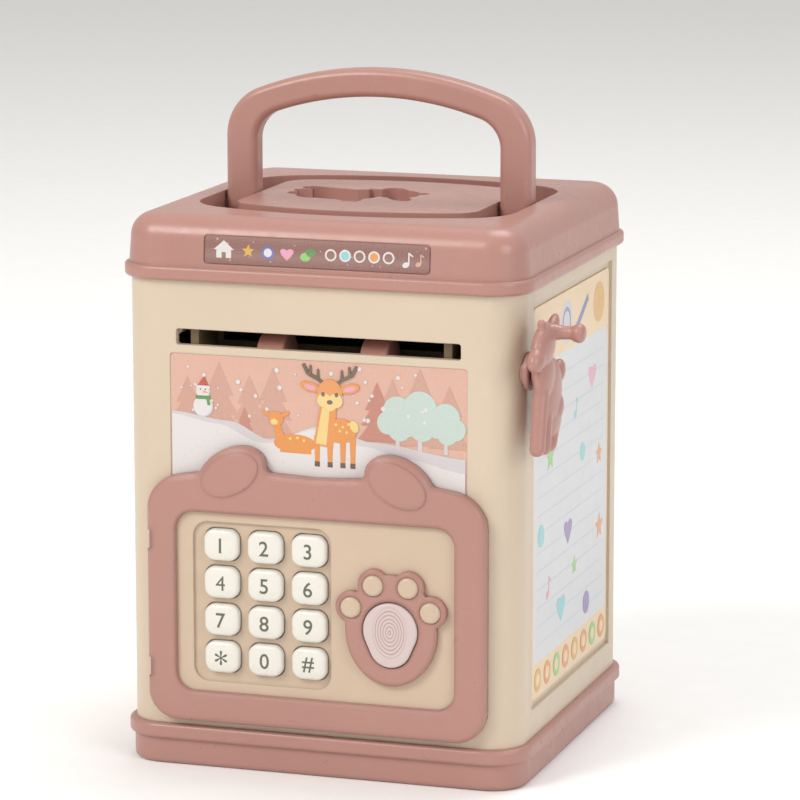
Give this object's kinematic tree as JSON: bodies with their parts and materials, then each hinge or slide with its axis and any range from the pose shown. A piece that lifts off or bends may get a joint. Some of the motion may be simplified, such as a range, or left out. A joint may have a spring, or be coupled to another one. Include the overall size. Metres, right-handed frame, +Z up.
{
  "type": "toy cash machine savings bank",
  "caption": "Upright toy cash machine bank with a folding carry handle, a hinged keypad door with ears and a paw pad, a note slot, a coin slot and a pull-out crank.",
  "frame": {"origin": "middle of the base's outline, on the plane that it stands on", "axes": "+Z up, -Y out of the front with the door, +X towards the crank"},
  "size_m": [0.1368, 0.1209, 0.195],
  "materials": {
    "case_plastic": "satin moulded ABS, beige",
    "rose_plastic": "satin moulded ABS, dusty rose",
    "panel_plastic": "satin moulded ABS, beige, a shade lighter",
    "key_plastic": "white moulded keys with printed signs",
    "pad_plastic": "pale pink pad with printed ridges",
    "inner_plastic": "plain moulded inner parts",
    "picture_film": "printed film, winter scene",
    "label_film": "printed film strip",
    "card_print": "printed plastic-coated card",
    "roller_rubber": "soft pink rubber tread",
    "membrane_rubber": "silicone rubber sheet",
    "steel": "turned steel",
    "contact_metal": "nickel-plated spring steel",
    "coil_winding": "lacquered copper winding",
    "cell_sleeve": "plain sleeve, no mark",
    "circuit_board": "green board with small parts",
    "speaker_frame": "black frame and paper cone"
  },
  "bodies": {
    "case": {"front_shell": "case_plastic", "rear_shell": "case_plastic", "base_tray": "rose_plastic", "lid": "rose_plastic", "lid_label": "label_film", "coin_chute": "inner_plastic", "front_picture": "picture_film", "savings_card": "card_print", "roller_carrier": "inner_plastic", "crank_bush": "rose_plastic", "hinge_knuckles": "rose_plastic", "door_hinge_pins": "steel", "lock_coil": "coil_winding", "batteries": "cell_sleeve", "battery_box": "inner_plastic", "battery_contacts": "contact_metal", "battery_cover": "rose_plastic", "main_board": "circuit_board", "speaker": "speaker_frame", "base_screws": "steel", "lid_screws": "steel", "carrier_screws": "steel"},
    "handle": {"handle": "rose_plastic"},
    "door": {"door_frame": "rose_plastic", "door_panel": "panel_plastic", "door_back_cover": "inner_plastic", "keypad_membrane": "membrane_rubber", "keypad_board": "circuit_board", "paw_cover": "rose_plastic", "toe_beads": "panel_plastic", "door_screws": "steel"},
    "key_1": {"key_1": "key_plastic"},
    "key_2": {"key_2": "key_plastic"},
    "key_3": {"key_3": "key_plastic"},
    "key_4": {"key_4": "key_plastic"},
    "key_5": {"key_5": "key_plastic"},
    "key_6": {"key_6": "key_plastic"},
    "key_7": {"key_7": "key_plastic"},
    "key_8": {"key_8": "key_plastic"},
    "key_9": {"key_9": "key_plastic"},
    "key_star": {"key_star": "key_plastic"},
    "key_0": {"key_0": "key_plastic"},
    "key_hash": {"key_hash": "key_plastic"},
    "fingerprint_pad": {"fingerprint_pad": "pad_plastic"},
    "lock_bolt": {"lock_bolt": "steel"},
    "feed": {"drive_axle": "steel", "feed_rollers": "roller_rubber", "drive_socket": "inner_plastic"},
    "pinch": {"pinch_axle": "steel", "pinch_rollers": "roller_rubber"},
    "crank": {"crank": "rose_plastic"}
  },
  "joints": [
    {"name": "handle_fold", "type": "hinge", "parent": "case", "child": "handle", "pos_m": [0, 0, 0.154], "axis": [1, 0, 0], "range_deg": [-90, 90]},
    {"name": "door_swing", "type": "hinge", "parent": "case", "child": "door", "pos_m": [-0.0482, -0.0581, 0.05], "axis": [0, 0, -1], "range_deg": [0, 110]},
    {"name": "key_1_press", "type": "slide", "parent": "door", "child": "key_1", "axis": [0, 1, 0], "range_m": [0, 0.0009], "stiffness_N_per_m": 300},
    {"name": "key_2_press", "type": "slide", "parent": "door", "child": "key_2", "axis": [0, 1, 0], "range_m": [0, 0.0009], "stiffness_N_per_m": 300},
    {"name": "key_3_press", "type": "slide", "parent": "door", "child": "key_3", "axis": [0, 1, 0], "range_m": [0, 0.0009], "stiffness_N_per_m": 300},
    {"name": "key_4_press", "type": "slide", "parent": "door", "child": "key_4", "axis": [0, 1, 0], "range_m": [0, 0.0009], "stiffness_N_per_m": 300},
    {"name": "key_5_press", "type": "slide", "parent": "door", "child": "key_5", "axis": [0, 1, 0], "range_m": [0, 0.0009], "stiffness_N_per_m": 300},
    {"name": "key_6_press", "type": "slide", "parent": "door", "child": "key_6", "axis": [0, 1, 0], "range_m": [0, 0.0009], "stiffness_N_per_m": 300},
    {"name": "key_7_press", "type": "slide", "parent": "door", "child": "key_7", "axis": [0, 1, 0], "range_m": [0, 0.0009], "stiffness_N_per_m": 300},
    {"name": "key_8_press", "type": "slide", "parent": "door", "child": "key_8", "axis": [0, 1, 0], "range_m": [0, 0.0009], "stiffness_N_per_m": 300},
    {"name": "key_9_press", "type": "slide", "parent": "door", "child": "key_9", "axis": [0, 1, 0], "range_m": [0, 0.0009], "stiffness_N_per_m": 300},
    {"name": "key_star_press", "type": "slide", "parent": "door", "child": "key_star", "axis": [0, 1, 0], "range_m": [0, 0.0009], "stiffness_N_per_m": 300},
    {"name": "key_0_press", "type": "slide", "parent": "door", "child": "key_0", "axis": [0, 1, 0], "range_m": [0, 0.0009], "stiffness_N_per_m": 300},
    {"name": "key_hash_press", "type": "slide", "parent": "door", "child": "key_hash", "axis": [0, 1, 0], "range_m": [0, 0.0009], "stiffness_N_per_m": 300},
    {"name": "pad_press", "type": "slide", "parent": "door", "child": "fingerprint_pad", "axis": [0, 1, 0], "range_m": [0, 0.0008], "stiffness_N_per_m": 300},
    {"name": "bolt_slide", "type": "slide", "parent": "case", "child": "lock_bolt", "axis": [-1, 0, 0], "range_m": [0, 0.0045]},
    {"name": "feed_turn", "type": "hinge", "parent": "case", "child": "feed", "pos_m": [0, -0.0462, 0.118], "axis": [1, 0, 0], "continuous": true},
    {"name": "pinch_turn", "type": "hinge", "parent": "case", "child": "pinch", "pos_m": [0, -0.0462, 0.12915], "axis": [1, 0, 0], "continuous": true},
    {"name": "crank_pull", "type": "slide", "parent": "feed", "child": "crank", "axis": [1, 0, 0], "range_m": [0, 0.015]}
  ],
  "couplings": [
    {"joint": "pinch_turn", "follows": "feed_turn", "ratio": -1.75}
  ]
}
